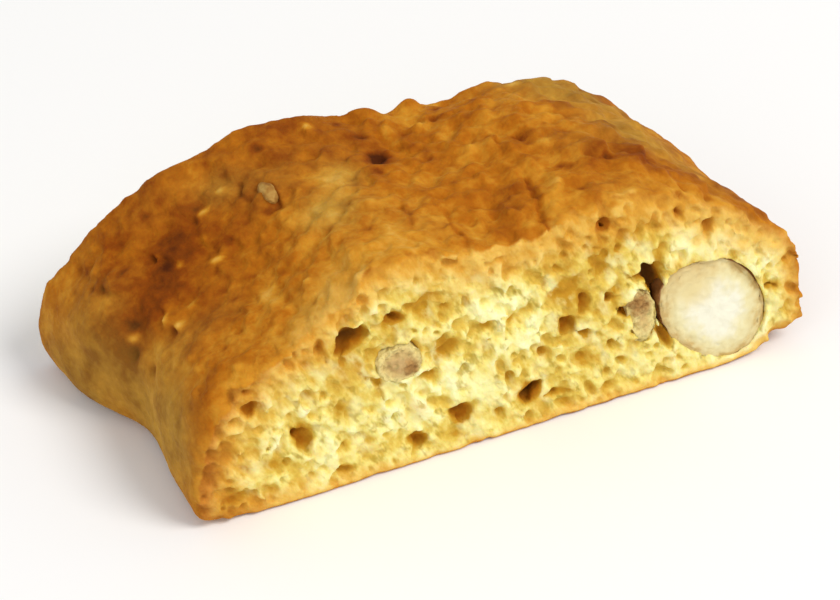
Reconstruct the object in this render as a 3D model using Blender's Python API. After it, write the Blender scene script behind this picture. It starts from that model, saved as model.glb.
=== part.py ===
"""One slice of a twice-baked nut biscuit: a low loaf, cut across twice, with nuts showing in the cuts.

The slice stands on the loaf's flat base. X runs along the cuts, from the loaf's left flank to its right
one, and the front cut faces -Y. The origin is the middle of the slice's box, at the base. Everything is
in metres.
"""

import math

import bmesh
import bpy
from mathutils import Euler, Vector, noise

# The loaf. Sections are measured from its axis, which runs along Y, and its base lies on the tray at Z = 0.
AXIS_X = 0.00203  # of the loaf's axis
AXIS_HEIGHT = 0.008  # of the section's widest level above the tray
HALF_WIDTH = 0.031  # from the axis to a flank
RISE = 0.0155  # from the axis to the crest
TOP_ROUNDNESS = 2.0  # exponents of the section's superellipse: 2 is an ellipse, more is squarer
LEFT_FOOT_ROUNDNESS = 3.6
RIGHT_FOOT_ROUNDNESS = 3.0
FOOT_BLEND = 0.25  # how softly the flanks meet the base, as a share of the radius
FOOT_FADE = 0.003  # height over which the crust's relief dies out towards the base

# The cuts
FRONT_Y = -0.0145  # of the front cut
THICKNESS = 0.0272  # from cut to cut along the axis
REAR_TURN = math.radians(2.9)  # the rear cut isn't quite parallel to the front one
OVERLENGTH = 0.004  # of the uncut loaf beyond each cut

# How the section changes on the way back from the front cut: distance, left width, right width, rise, lean.
# Widths and rise are shares of HALF_WIDTH and RISE. Lean lifts the right side and lowers the left one.
STATIONS = (
    (0.000, 1.018, 0.993, 1.000, 0.000),
    (0.007, 1.018, 0.954, 0.982, 0.105),
    (0.014, 1.004, 0.915, 0.942, 0.141),
    (0.021, 1.110, 0.903, 0.882, 0.100),
    (0.028, 1.142, 0.900, 0.838, -0.059),
)

# Long swellings and furrows: angle round the axis from the right flank, its spread, share of radius
RIDGES = (
    (64, 14, 0.050),
    (90, 10, -0.075),
    (112, 9, 0.085),
    (136, 14, -0.055),
    (-14, 8, 0.015),
    (-26, 5, -0.062),
)

# Knobs and dents of the crust: angle, distance behind the front cut, radius, height
KNOBS = (
    (202, 0.023, 0.0070, 0.0002),
    (200, 0.000, 0.0040, 0.0005),
    (188, 0.027, 0.0040, 0.0003),
    (171, 0.027, 0.0020, 0.0005),
    (163, 0.027, 0.0040, -0.0024),
    (134, 0.027, 0.0050, 0.0015),
    (127, 0.027, 0.0022, 0.0007),
    (113, 0.027, 0.0034, 0.0006),
    (107, 0.027, 0.0018, 0.0005),
    (103, 0.027, 0.0020, 0.0005),
    (98, 0.026, 0.0012, -0.0005),
    (94, 0.027, 0.0014, 0.00035),
    (90, 0.027, 0.0012, -0.0008),
    (85, 0.027, 0.0012, 0.0008),
    (77, 0.027, 0.0034, -0.0015),
    (69, 0.027, 0.0018, 0.0004),
    (65, 0.027, 0.0030, -0.0010),
    (51, 0.027, 0.0026, 0.0005),
    (42, 0.027, 0.0022, -0.0004),
    (33, 0.026, 0.0020, 0.0004),
    (27, 0.023, 0.0040, -0.0012),
    (31, 0.010, 0.0045, -0.0012),
    (10, 0.000, 0.0030, 0.0003),
    (-19, 0.001, 0.0035, 0.0008),
    (118, 0.0185, 0.0020, 0.0005),
    (113, 0.0150, 0.0030, -0.0004),
    (146, 0.0185, 0.0040, -0.0004),
    (166, 0.0150, 0.0018, -0.0004),
)
UNEVENNESS = 0.0003  # of the whole crust
LUMP_SIZE = 0.007

SEGMENTS = 132  # round the loaf
RING_SPACING = 0.0014

# Nuts. Each lies in a pocket with this much room round it, and is cut by the same knife as the biscuit.
POCKET_GAP = 0.0003

# Cavities open at a cut: across from the axis, height, half length, half height, tilt, depth
FRONT_CAVITIES = (
    (-0.0164, 0.0166, 0.0017, 0.0012, 25, 0.0016),
    (-0.0210, 0.0073, 0.0017, 0.0012, -65, 0.0014),
    (-0.0052, 0.0043, 0.0014, 0.0012, -60, 0.0013),
    (0.0019, 0.0043, 0.0014, 0.0012, 60, 0.0015),
    (0.0090, 0.0211, 0.0009, 0.0008, -60, 0.0013),
    (0.0144, 0.0132, 0.0027, 0.0009, -72, 0.0024),
)
REAR_CAVITIES = (
    (-0.0235, 0.0085, 0.0016, 0.0011, 25, 0.0015),
    (0.0075, 0.0150, 0.0019, 0.0012, -20, 0.0014),
    (0.0150, 0.0062, 0.0012, 0.0012, 0, 0.0013),
)
CAVITY_SINK = 0.0002  # of a cavity's middle behind its cut
CAVITY_LUMPINESS = 0.25


def smooth_through(stations, column, distance):
    """The value of that column at a distance, on a smooth curve through the stations."""
    last = len(stations) - 1
    distance = min(max(distance, stations[0][0]), stations[last][0])
    i = max(k for k in range(last) if stations[k][0] <= distance)

    def slope(k):
        before, after = stations[max(k - 1, 0)], stations[min(k + 1, last)]
        return (after[column] - before[column]) / (after[0] - before[0])

    step = stations[i + 1][0] - stations[i][0]
    s = (distance - stations[i][0]) / step
    return (
        stations[i][column] * (1 + 2 * s) * (1 - s) ** 2
        + slope(i) * step * s * (1 - s) ** 2
        + stations[i + 1][column] * s * s * (3 - 2 * s)
        + slope(i + 1) * step * s * s * (s - 1)
    )


def hill(offset, spread):
    return math.exp(-((offset / spread) ** 2))


def soft_minimum(a, b, blend):
    overlap = max(blend - abs(a - b), 0) / blend
    return min(a, b) - overlap * overlap * blend / 4


def section_radius(angle):
    """The section's radius at that angle in degrees, as a share of its half width and rise."""
    across, up = math.cos(math.radians(angle)), math.sin(math.radians(angle))
    if up >= 0:
        power = TOP_ROUNDNESS
    else:
        power = LEFT_FOOT_ROUNDNESS if across < 0 else RIGHT_FOOT_ROUNDNESS
    radius = (abs(across) ** power + abs(up) ** power) ** (-1 / power)
    radius *= 1 + sum(share * hill(angle - at, spread) for at, spread, share in RIDGES)
    if up > -0.01:
        return radius
    return soft_minimum(radius, AXIS_HEIGHT / RISE / -up, FOOT_BLEND)


def loaf_point(angle, behind):
    """The smooth crust's point at an angle round the axis and a distance behind the front cut."""
    left, right, rise, lean = (smooth_through(STATIONS, column, behind) for column in (1, 2, 3, 4))
    radius = section_radius(angle)
    across = radius * math.cos(math.radians(angle))
    up = radius * math.sin(math.radians(angle))
    lift = rise + lean * across if up > 0 else 1
    return Vector((HALF_WIDTH * across * (left if across < 0 else right), behind, RISE * up * lift))


def relief(point, knobs):
    """How far the crust stands out of the smooth loaf at a point. The base stays flat."""
    height = UNEVENNESS * noise.fractal(point / LUMP_SIZE, 1.0, 2.0, 3)
    height += sum(tall * hill((point - centre).length, size) for centre, size, tall in knobs)
    return height * min((point.z + AXIS_HEIGHT) / FOOT_FADE, 1)


def crust_point(angle, behind, knobs):
    """A point of the crust, in the slice's frame."""
    point = loaf_point(angle, behind)
    outward = Vector((point.x, 0, point.z)).normalized()
    point += outward * relief(point, knobs)
    return point + Vector((AXIS_X, FRONT_Y, AXIS_HEIGHT))


def collection(name):
    made = bpy.data.collections.new(name)
    bpy.context.scene.collection.children.link(made)
    return made


def add_object(name, shape, into):
    """A named object with the bmesh's faces."""
    bmesh.ops.recalc_face_normals(shape, faces=shape.faces)
    mesh = bpy.data.meshes.new(name)
    shape.to_mesh(mesh)
    shape.free()
    made = bpy.data.objects.new(name, mesh)
    into.objects.link(made)
    return made


def add_cutter(name, shape, into):
    made = add_object(name, shape, into)
    made.hide_render = True
    made.display_type = "WIRE"
    return made


def cut(target, cutter):
    modifier = target.modifiers.new(cutter.name, "BOOLEAN")
    modifier.operation = "DIFFERENCE"
    modifier.solver = "EXACT"
    modifier.object = cutter


def material(name, colour, roughness):
    made = bpy.data.materials.new(name)
    made.use_nodes = True
    shader = made.node_tree.nodes["Principled BSDF"]
    shader.inputs["Base Color"].default_value = (*colour, 1)
    shader.inputs["Roughness"].default_value = roughness
    shader.inputs["Metallic"].default_value = 0
    return made


def make_loaf(name, into):
    """The uncut loaf: a cylinder along Y with rings added, its points moved out to the crust."""
    knobs = [(loaf_point(angle, behind), size, tall) for angle, behind, size, tall in KNOBS]
    length = THICKNESS + 2 * OVERLENGTH
    shape = bmesh.new()
    bmesh.ops.create_cone(shape, cap_ends=True, segments=SEGMENTS, radius1=1, radius2=1, depth=length)
    sides = [edge for edge in shape.edges if abs(edge.verts[0].co.z - edge.verts[1].co.z) > length / 2]
    bmesh.ops.subdivide_edges(shape, edges=sides, cuts=round(length / RING_SPACING) - 1)
    for vertex in shape.verts:
        angle = math.degrees(math.atan2(vertex.co.y, vertex.co.x))
        if angle < -90:
            angle += 360
        behind = vertex.co.z + length / 2 - OVERLENGTH
        vertex.co = crust_point(angle, behind, knobs)
    base = [edge for edge in shape.edges if max(vertex.co.z for vertex in edge.verts) < 1e-7]
    bmesh.ops.dissolve_limit(shape, angle_limit=0.01, verts=[], edges=base)
    return add_object(name, shape, into)


def make_block(name, size, centre, turn, into):
    """A box that takes away all of the loaf on its side of one face."""
    shape = bmesh.new()
    bmesh.ops.create_cube(shape, size=size)
    made = add_cutter(name, shape, into)
    made.location = centre
    made.rotation_euler.z = turn
    return made


def make_knives(into):
    """What the front and the rear knife stroke take away."""
    size = 0.12
    front = make_block("front_knife", size, (0, FRONT_Y - size / 2, 0), 0, into)
    middle = Vector((AXIS_X, FRONT_Y + THICKNESS, 0))
    away = Vector((math.sin(REAR_TURN), math.cos(REAR_TURN), 0)) * size / 2
    rear = make_block("rear_knife", size, middle + away, -REAR_TURN, into)
    return front, rear


def make_blob(centre, radii, tilt, lumpiness, grow=0.0, segments=24):
    """A lumpy ellipsoid. Tilt is its turn about Y in degrees, and grow moves its surface outwards."""
    shape = bmesh.new()
    bmesh.ops.create_uvsphere(shape, u_segments=segments, v_segments=segments // 2, radius=1)
    turn = Euler((0, math.radians(-tilt), 0)).to_matrix()
    for vertex in shape.verts:
        x, y, z = vertex.co
        lump = 1 + lumpiness * math.sin(3 * x + 2 * z) * math.cos(2 * y + z)
        out = Vector([part * (radius * lump + grow) for part, radius in zip(vertex.co, radii)])
        vertex.co = Vector(centre) + turn @ out
    return shape


def at_cut(across, height, behind):
    """A point near the front cut, from its place across the loaf, its height and how far it lies behind."""
    return (AXIS_X + across, FRONT_Y + behind, height)


def at_rear(across, height, before):
    """The same at the rear cut, before being how far in front of that cut the point lies."""
    return (AXIS_X + across, FRONT_Y + THICKNESS - across * math.tan(REAR_TURN) - before, height)


FLESH = (0.85, 0.74, 0.45)
SKIN = (0.40, 0.26, 0.16)

# Each nut: name, centre, radii, tilt, lumpiness, segments, colour, roughness
NUTS = (
    ("nut_large", at_cut(0.02125, 0.00735, 0.0016), (0.00725, 0.0085, 0.00475), -50, 0.04, 28, FLESH, 0.6),
    ("nut_small", at_cut(-0.01145, 0.0124, 0.0012), (0.0025, 0.0025, 0.0021), -30, 0.08, 16, FLESH, 0.6),
    ("nut_shard", at_cut(0.0134, 0.0094, 0.0009), (0.0035, 0.0020, 0.0014), -78, 0.10, 16, SKIN, 0.7),
    ("nut_rear", at_rear(-0.0070, 0.0118, 0.0020), (0.0068, 0.0070, 0.0043), 18, 0.05, 24, FLESH, 0.6),
)


def build():
    for old in list(bpy.data.objects):
        bpy.data.objects.remove(old)
    slice_parts = collection("biscotti")
    cutters = collection("cutters")

    front, rear = make_knives(cutters)
    biscuit = make_loaf("biscuit", slice_parts)
    cut(biscuit, front)
    cut(biscuit, rear)
    biscuit.data.materials.append(material("biscuit", (0.60, 0.32, 0.09), 0.75))

    for name, centre, radii, tilt, lumpiness, segments, colour, roughness in NUTS:
        pocket = make_blob(centre, radii, tilt, lumpiness, POCKET_GAP, segments)
        cut(biscuit, add_cutter(name + "_pocket", pocket, cutters))
        nut = add_object(name, make_blob(centre, radii, tilt, lumpiness, 0, segments), slice_parts)
        cut(nut, rear if name == "nut_rear" else front)
        nut.data.materials.append(material(name, colour, roughness))

    openings = [(at_cut(across, height, CAVITY_SINK), *size) for across, height, *size in FRONT_CAVITIES]
    openings += [(at_rear(across, height, CAVITY_SINK), *size) for across, height, *size in REAR_CAVITIES]
    for number, (centre, half_length, half_height, tilt, depth) in enumerate(openings, 1):
        hollow = make_blob(centre, (half_length, depth, half_height), tilt, CAVITY_LUMPINESS, 0, 12)
        cut(biscuit, add_cutter(f"cavity_{number}", hollow, cutters))


build()
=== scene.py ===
"""The looks of one slice of a nut biscuit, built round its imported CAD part.

The dough is a field on a fine grid: below zero in it, above zero outside. The crust, the two knife cuts,
the nuts' pockets and the pores are worked into the field, and its zero surface becomes the mesh. Lengths
are in millimetres, in the part's frame, until a mesh is made from them.
"""

import math

import bmesh
import bpy
import numpy as np
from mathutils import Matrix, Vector, noise


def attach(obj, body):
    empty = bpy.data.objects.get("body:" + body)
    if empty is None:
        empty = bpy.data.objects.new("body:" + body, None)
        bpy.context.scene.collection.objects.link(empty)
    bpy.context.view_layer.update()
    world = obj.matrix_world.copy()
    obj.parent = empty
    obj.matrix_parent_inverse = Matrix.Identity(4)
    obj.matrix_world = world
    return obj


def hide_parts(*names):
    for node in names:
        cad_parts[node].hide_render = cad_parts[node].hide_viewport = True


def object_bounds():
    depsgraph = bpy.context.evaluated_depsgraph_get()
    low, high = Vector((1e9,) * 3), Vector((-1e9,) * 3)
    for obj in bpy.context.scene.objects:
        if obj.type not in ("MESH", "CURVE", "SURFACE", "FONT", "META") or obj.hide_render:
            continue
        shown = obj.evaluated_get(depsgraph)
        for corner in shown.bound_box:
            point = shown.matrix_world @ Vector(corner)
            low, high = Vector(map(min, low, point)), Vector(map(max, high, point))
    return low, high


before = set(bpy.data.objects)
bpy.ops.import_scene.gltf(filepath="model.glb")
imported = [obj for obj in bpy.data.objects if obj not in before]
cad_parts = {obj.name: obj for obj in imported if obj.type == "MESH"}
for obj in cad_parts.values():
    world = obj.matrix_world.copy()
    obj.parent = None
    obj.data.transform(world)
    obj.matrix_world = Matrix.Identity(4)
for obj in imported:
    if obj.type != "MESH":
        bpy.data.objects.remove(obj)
CAD_BOX = [list(corner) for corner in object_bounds()]

MM = 0.001
GRID_STEP = 0.22
MOST_TRIANGLES = 190_000
UNITS = np.eye(3, dtype=int)  # a step along each axis of the grid

# The loaf, as in the CAD part
AXIS_X = 2.03  # of the loaf's axis, which runs along Y
AXIS_HEIGHT = 8.0  # of the section's widest level above the tray
HALF_WIDTH = 31.0
RISE = 15.5
TOP_ROUNDNESS = 2.0  # exponents of the section's superellipse
LEFT_FOOT_ROUNDNESS = 3.6
RIGHT_FOOT_ROUNDNESS = 3.0
FOOT_BLEND = 0.25
FOOT_FADE = 3.0
FRONT_Y = -14.5
THICKNESS = 27.2
REAR_TURN = math.radians(2.9)

# Distance behind the front cut, left width, right width, rise, lean
STATIONS = (
    (0, 1.018, 0.993, 1, 0),
    (7, 1.018, 0.954, 0.982, 0.105),
    (14, 1.004, 0.915, 0.942, 0.141),
    (21, 1.11, 0.903, 0.882, 0.1),
    (28, 1.142, 0.9, 0.838, -0.059),
)

# Places on the crust are given as an angle round the axis, from the right flank over the top, and a
# distance behind the front cut.

# Long swellings and furrows: angle, its spread, share of radius
RIDGES = (
    (64, 14, 0.05),
    (90, 10, -0.075),
    (112, 9, 0.085),
    (136, 14, -0.055),
    (-14, 8, 0.015),
    (-26, 5, -0.062),
)

# Knobs and dents: place, radius, height
KNOBS = (
    (202, 23, 7, 0.2), (200, 0, 4, 0.5), (188, 27, 4, 0.3), (171, 27, 2, 0.5),
    (163, 27, 4, -2.4), (134, 27, 5, 1.5), (127, 27, 2.2, 0.7), (113, 27, 3.4, 0.6),
    (107, 27, 1.8, 0.5), (103, 27, 2, 0.5), (98, 26, 1.2, -0.5), (94, 27, 1.4, 0.35),
    (90, 27, 1.2, -0.8), (85, 27, 1.2, 0.8), (77, 27, 3.4, -1.5), (69, 27, 1.8, 0.4),
    (65, 27, 3, -1), (51, 27, 2.6, 0.5), (42, 27, 2.2, -0.4), (33, 26, 2, 0.4),
    (27, 23, 4, -1.2), (31, 10, 4.5, -1.2), (10, 0, 3, 0.3), (-19, 1, 3.5, 0.8),
    (118, 18.5, 2, 0.5), (113, 15, 3, -0.4), (146, 18.5, 4, -0.4), (166, 15, 1.8, -0.4),
)
UNEVENNESS = 0.3
LUMP_SIZE = 7.0

# Small holes in the crust: angle, distance behind the front cut, radius, depth
CRUST_HOLES = (
    (98.5, 18.8, 0.75, 0.9), (98, 22.8, 0.45, 0.4), (101, 16, 0.35, 0.3), (75, 14, 0.75, 0.8),
    (157.7, 21.7, 0.5, 0.6), (173, 15.2, 0.5, 0.5), (172, 12.1, 0.5, 0.5), (157, 12.8, 0.45, 0.5),
    (163, 16.8, 0.4, 0.4), (73, 8, 0.4, 0.3), (112, 24.5, 0.45, 0.3), (84, 22.5, 0.5, 0.6),
)

# Blisters that catch the light, which the crust's colour also paints paler as a painted highlight: place,
# radius, height
BLISTERS = (
    (167, 16, 0.5, 0.25), (155, 14.4, 0.5, 0.22), (154, 12.6, 0.45, 0.2),
    (136, 16.5, 0.5, 0.2), (128, 22, 0.5, 0.2), (122, 22.6, 0.45, 0.2),
    (142, 18.8, 0.45, 0.18), (104, 25.4, 0.5, 0.35), (66, 24, 0.5, 0.3),
)

# Cracks in the crust: width, depth, then the place of each bend
CRACKS = (
    (0.22, 0.5, (80, 7.6), (80.8, 6.2), (81.4, 4.4), (83.2, 1.8), (83, 0.5)),
    (0.18, 0.3, (79.5, 15.8), (79, 14), (79.8, 12.4)),
    (0.16, 0.3, (97, 6.6), (98.2, 4.4), (97.4, 2.2), (99, 0.5)),
    (0.25, 0.6, (119.8, 17), (118, 17), (116.2, 17.9), (115, 19.2)),
    (0.2, 0.4, (119.6, 19.6), (120, 21), (118.6, 22)),
    (0.18, 0.4, (103, 9.2), (102.4, 7.4), (103.4, 6)),
    (0.18, 0.25, (116, 9.6), (112.6, 10.6), (110, 12.2), (107.6, 12)),
)

# Small bumps and pits scattered over the crust, which its colour paints paler on the bumps (painted
# highlight) and darker in the pits (painted shade): how many, and the seed of their places
BUMPS = (140, 5)
PITS = (90, 6)

# Browning on top of the crust's middling brown: place, radius, amount
STAINS = (
    (98.5, 18.8, 1.1, 0.3), (83.7, 6.4, 0.5, -0.22), (90.2, 4.7, 0.6, -0.26), (172, 15.5, 2.2, 0.2),
    (161, 16, 2.6, 0.28), (152, 17.2, 3, 0.32), (144, 19, 3, 0.4), (136, 21, 2.8, 0.2),
    (131, 23.5, 3, 0.06), (140, 15, 3, 0.1), (130, 15.5, 2.5, -0.1), (120, 16.5, 2.2, -0.07),
    (130, 11, 5, 0.07), (128, 18, 4, 0.1), (150, 13, 3, 0.14), (148, 24.5, 3.5, 0.25),
    (138, 26, 3, 0.12), (172, 20.5, 4, 0.12), (180, 18, 3, 0.13), (170, 3, 7, 0.14),
    (182, 6, 5, 0.05), (160, 10.5, 3.5, -0.06), (170, 14, 2, -0.08), (112, 12.5, 2.6, -0.08),
    (112, 9, 2.5, 0.1), (107, 17, 2.2, -0.2), (120, 27, 3, 0.12), (108, 27, 3, 0.2),
    (96, 20, 3, 0.12), (90, 21.5, 2.5, 0.1), (91, 16, 4, 0.1), (80, 9.5, 3.5, 0.12),
    (76, 13, 2.5, 0.06), (78, 22, 4, 0.08), (66, 7.5, 2.2, 0.22), (68, 4, 2.5, 0.1),
    (68, 13, 3, 0.08), (68, 17, 2.5, 0.06), (58, 7, 2.6, 0.44), (52, 4, 2.5, 0.2),
    (52, 15, 6, 0.14), (80, 2, 2.6, -0.2), (70, 1, 2.2, -0.18), (57, 0.5, 2.2, -0.2),
    (98, 2.5, 2.6, -0.2), (104, 9, 3, -0.06), (90, 0.8, 2, 0.05), (112, 2, 4.5, -0.16),
    (130, 0.5, 3.4, -0.27), (120, 3, 3, -0.06), (190, 7, 4, -0.04), (48, 0, 3.5, -0.2),
)

# Where the crust is drier and more tan than orange: place, radius, amount
TAN_PATCHES = (
    (194, 20, 9, 0.9), (190, 8, 7, 0.8), (174, 4, 4, 0.5), (113, 12.5, 3, 0.9),
    (106, 17, 2.4, 0.6), (122, 23, 2.2, 0.4), (48, 22, 6, 0.7), (50, 14, 5, 0.5),
    (60, 25, 4, 0.4), (44, 10, 5, 0.5), (104, 6, 3, 0.3), (124, 1, 4, 0.5),
)

# Nuts, as in the CAD part: centre across, its height and distance behind the cut, radii, tilt, lumpiness
NUTS = {
    "nut_large": ((21.25, 7.35, 1.6), (7.25, 8.5, 4.75), -50, 0.04),
    "nut_small": ((-11.45, 12.4, 1.2), (2.5, 2.5, 2.1), -30, 0.08),
    "nut_shard": ((13.4, 9.4, 0.9), (3.5, 2.0, 1.4), -78, 0.10),
    "nut_rear": ((-7.0, 11.8, 2.0), (6.8, 7.0, 4.3), 18, 0.05),
}

# Their cut faces: depth under the cut, slopes across and up, doming, unevenness, a darker patch, its size
NUT_FACES = {
    "nut_large": (0.22, 0.03, 0.05, 0.35, 0.15, -2.6, 4.2, 3.6),
    "nut_small": (0.12, -0.03, 0.08, 0.10, 0.50, 1.0, -0.7, 1.2),
    "nut_shard": (0.18, 0.00, 0.00, 0.20, 0.45, -0.3, 1.4, 1.5),
    "nut_rear": (0.20, 0.00, 0.00, 0.30, 0.15, 2.0, -1.5, 3.0),
}

NUT_RAGGEDNESS = 0.22  # of their outlines

# Their pockets in the dough: how much wider than the nut, and how far they lie to its right and above it
NUT_POCKETS = {
    "nut_large": (-0.03, -0.02, 0.15),
    "nut_small": (-0.12, 0.03, 0.14),
    "nut_shard": (-0.06, 0.14, 0.10),
    "nut_rear": (0.08, 0.0, 0.0),
}

# A chip of nut baked into the crust: place, radii, how far it stands out
CHIP = (116.3, 19.0, (0.85, 1.45, 0.8), -0.05)

# Holes in the front cut: across from the axis, height, half length, half width, tilt, depth
FRONT_HOLES = (
    (-16.4, 16.6, 1.7, 1.2, 25, 1.8), (-11.9, 17.6, 1.2, 0.7, -15, 1.3),
    (-18.9, 16.4, 1.3, 0.45, -70, 0.6), (-17.2, 13.9, 0.7, 0.4, -80, 0.5), (-21, 7.3, 1.7, 1.2, -65, 1.4),
    (-26.2, 14.2, 0.7, 0.4, -20, 0.9), (-25.9, 12, 0.7, 0.6, 60, 1.1), (-28.4, 8.4, 1.3, 0.7, -70, 0.5),
    (-24, 5.2, 1.2, 0.8, -30, 0.4), (-27.8, 2.6, 1.1, 0.6, -10, 0.6), (-16.9, 1.9, 1.2, 0.7, -10, 0.8),
    (-16.9, 4.6, 0.7, 0.5, -80, 0.6), (-13.6, 10.4, 1.4, 0.35, -68, 0.6),
    (-9.6, 2.7, 1.3, 0.75, -45, 1.2), (-5.2, 4.3, 1.4, 1.2, -60, 1.3), (-8.1, 9.6, 1, 0.6, -50, 0.7),
    (-6.3, 12.8, 1.1, 0.8, -30, 0.4), (-6.9, 16.9, 0.7, 0.5, -60, 0.5), (-0.2, 13.2, 1.8, 0.3, 66, 0.35),
    (-1.3, 3.2, 0.8, 0.45, -25, 0.7), (1.9, 4.3, 1.4, 1.2, 60, 1.7), (4.6, 3.1, 1.6, 0.5, -8, 0.7),
    (3.3, 8, 0.9, 0.55, -55, 0.5), (4.9, 14.9, 1.6, 1.3, 10, 0.5), (7.1, 13.2, 1.4, 0.7, -80, 1),
    (5.4, 11, 1.1, 0.75, -72, 1.3), (7.4, 9.1, 0.7, 0.5, -60, 0.5), (7.5, 6.1, 1.7, 0.9, -32, 0.6),
    (10.2, 7.2, 0.6, 0.35, -58, 0.7), (11.4, 4.7, 0.7, 0.4, -55, 0.7), (11.6, 10.4, 1, 0.7, -55, 1.2),
    (9, 21.1, 0.8, 0.7, -60, 1.5), (14.5, 13, 2.4, 0.8, -70, 2.4), (13.5, 13.9, 1, 0.5, -25, 1.2),
    (15.2, 9.3, 1.6, 0.35, -72, 1.6), (16.2, 5.6, 1.2, 0.45, -65, 0.9), (16.7, 20.1, 0.9, 0.7, -60, 0.9),
    (20, 17.4, 1.1, 0.6, -75, 0.7), (27.4, 8.2, 1, 0.6, -30, 0.9), (28.9, 10.6, 0.7, 0.5, -60, 0.6),
    (15.8, 1.9, 0.8, 0.45, -10, 0.6),
)
REAR_HOLES = (
    (-23.5, 8.5, 1.6, 1.1, 25, 1.5), (7.5, 15, 1.9, 1.2, -20, 1.4), (15, 6.2, 1.2, 1.2, 0, 1.3),
    (-14.5, 16, 1.1, 0.8, 15, 1.2), (2.5, 6, 1, 0.8, -30, 1.1), (20.5, 11.5, 0.9, 1.2, 10, 1.2),
    (-16, 4, 1.3, 0.8, 0, 1.2), (9.5, 10, 0.8, 0.6, 40, 0.9), (-26.5, 4.5, 0.9, 0.5, 10, 0.8),
    (3.5, 10.5, 0.7, 0.9, 0, 0.8), (24, 7, 0.8, 0.6, 30, 0.8),
)
HOLE_LUMPINESS = 0.25
PORES = 1800  # small ones, scattered over each cut
CRUMB_TILT = -62.0  # of the crumb's fibres and pores, in degrees
CRUMB_LEAN = math.tan(math.radians(90 + CRUMB_TILT))
OPENNESS = 2.0  # noise value above which the crumb is a void, in spreads of the noise

# Where the crumb is paler, or for a negative amount more golden: across, height, radius, amount
CRUMB_PATCHES = (
    (-2.2, 16, 2.6, 0.5), (1.6, 12.3, 2, 0.35), (-6, 2, 1.5, -0.3), (2.5, 3.5, 1.8, -0.3),
    (-10, 4.4, 1.6, 0.3), (-18, 2, 2, 0.2), (22.5, 14.6, 1.4, 0.4), (13, 5.5, 2, -0.2),
    (8, 9, 3, -0.15), (-24.5, 6.5, 2.2, 0.15), (-18, 6, 3.2, 0.3), (-10.5, 6.3, 3.2, 0.4),
    (-6, 8.3, 2.5, 0.45), (1, 15.5, 2, 0.2), (17.6, 16.3, 1.6, 0.7), (21.8, 15, 2, 0.6),
    (14, 17.5, 2, -0.25), (10.5, 11, 2.5, -0.2), (-14, 16.5, 2, -0.2), (26, 12.5, 2, 0.35),
    (14, 3.6, 2, 0.05), (25, 2.2, 2.6, 0.7), (-28, 5, 1.6, -0.1), (-28.3, 2.2, 1.3, -0.6),
    (-6.3, 12.8, 1.2, -0.4), (-17, 9.2, 1.1, -0.35), (0, 8.7, 1.2, -0.3), (2.2, 8.5, 1.8, 0.25),
    (-24, 5.2, 1.1, -0.3), (-18, 15, 2, -0.2), (-22, 10, 2.4, 0.2), (-16, 12, 3.5, -0.15),
    (5.8, 14.2, 2.6, -0.45), (8, 17, 2, -0.2), (9.5, 19, 3, -0.5), (-9, 18.5, 2, -0.3),
)

# How far the toasting reaches in from the crust at a cut and how dark it is, at angles round the axis
TOASTING = (
    (-90, 0.8, 0.3), (-40, 1, 0.4), (-15, 2.2, 0.6), (10, 2.4, 0.6), (25, 3.8, 0.6), (40, 3.8, 0.5),
    (60, 3.6, 0.3), (90, 3.8, 0.2), (115, 3.2, 0.2), (130, 2.4, 0.2), (150, 3.6, 0.6), (170, 5.6, 1),
    (190, 5.2, 1), (204, 3, 0.8), (215, 1, 0.3), (240, 0.5, 0.2), (270, 0.8, 0.3),
)

FRONT_ROUNDING = 0.7  # of the edges between the crust and the cuts
REAR_ROUNDING = 0.5
WORN_AT = 170  # the angle where the front edge is most worn
WORN_SPREAD = 20
WORN_ROUNDING = 2.0  # added to the rounding there
WORN_BROWNING = 1.1  # how far the crust's colours reach over the edge there

# The net of values over the crust: start, end and step of its angles and distances
NET_ANGLES = (-90, 270.01, 0.25)
NET_DISTANCES = (-1.0, 30.01, 0.2)

CAMERA_AZIMUTH = -26.0
CAMERA_ELEVATION = 38.0
CAMERA_DISTANCE = 0.300
CAMERA_AIM = (-0.00021, 0.0005, 0.00611)
LENS = 135.7


class Grid:
    """Points a step apart in a box. Their coordinates x, y and z broadcast to the grid's shape."""

    def __init__(self, low, high, step):
        self.low = np.array(low, float)
        self.step = step
        self.shape = tuple(int(math.ceil(side / step)) + 1 for side in np.array(high) - self.low)
        lines = [start + step * np.arange(count) for start, count in zip(self.low, self.shape)]
        self.x, self.y, self.z = np.ix_(*(line.astype(np.float32) for line in lines))

    def near(self, centre, reach):
        """Slices of the points near a centre, and their offsets from it."""
        first = np.floor((np.array(centre) - reach - self.low) / self.step).astype(int).clip(0)
        last = np.ceil((np.array(centre) + reach - self.low) / self.step).astype(int) + 1
        i, j, k = (slice(a, max(a, b)) for a, b in zip(first, last))
        return (i, j, k), self.x[i] - centre[0], self.y[:, j] - centre[1], self.z[:, :, k] - centre[2]

    def at(self, field, points):
        """The field at any points, joined linearly."""
        place = (points - self.low) / self.step
        place = np.clip(place, 0, np.array(self.shape) - 1.001)
        cell = place.astype(int)
        part = place - cell
        total = np.zeros(len(points), np.float32)
        for i, j, k in np.ndindex(2, 2, 2):
            weight = np.abs(1 - i - part[:, 0]) * np.abs(1 - j - part[:, 1]) * np.abs(1 - k - part[:, 2])
            total += weight * field[cell[:, 0] + i, cell[:, 1] + j, cell[:, 2] + k]
        return total


def curve_weights(count, spacing):
    """Rows of cubic B-spline weights, which join lattice values that lie a spacing of grid steps apart."""
    place = np.arange(count) / spacing
    cell = place.astype(int)
    t = place - cell
    pieces = ((1 - t) ** 3, 3 * t**3 - 6 * t**2 + 4, -3 * t**3 + 3 * t**2 + 3 * t + 1, t**3)
    weights = np.zeros((count, cell[-1] + 4), np.float32)
    for k, piece in enumerate(pieces):
        weights[np.arange(count), cell + k] = piece / 6
    return weights


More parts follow.
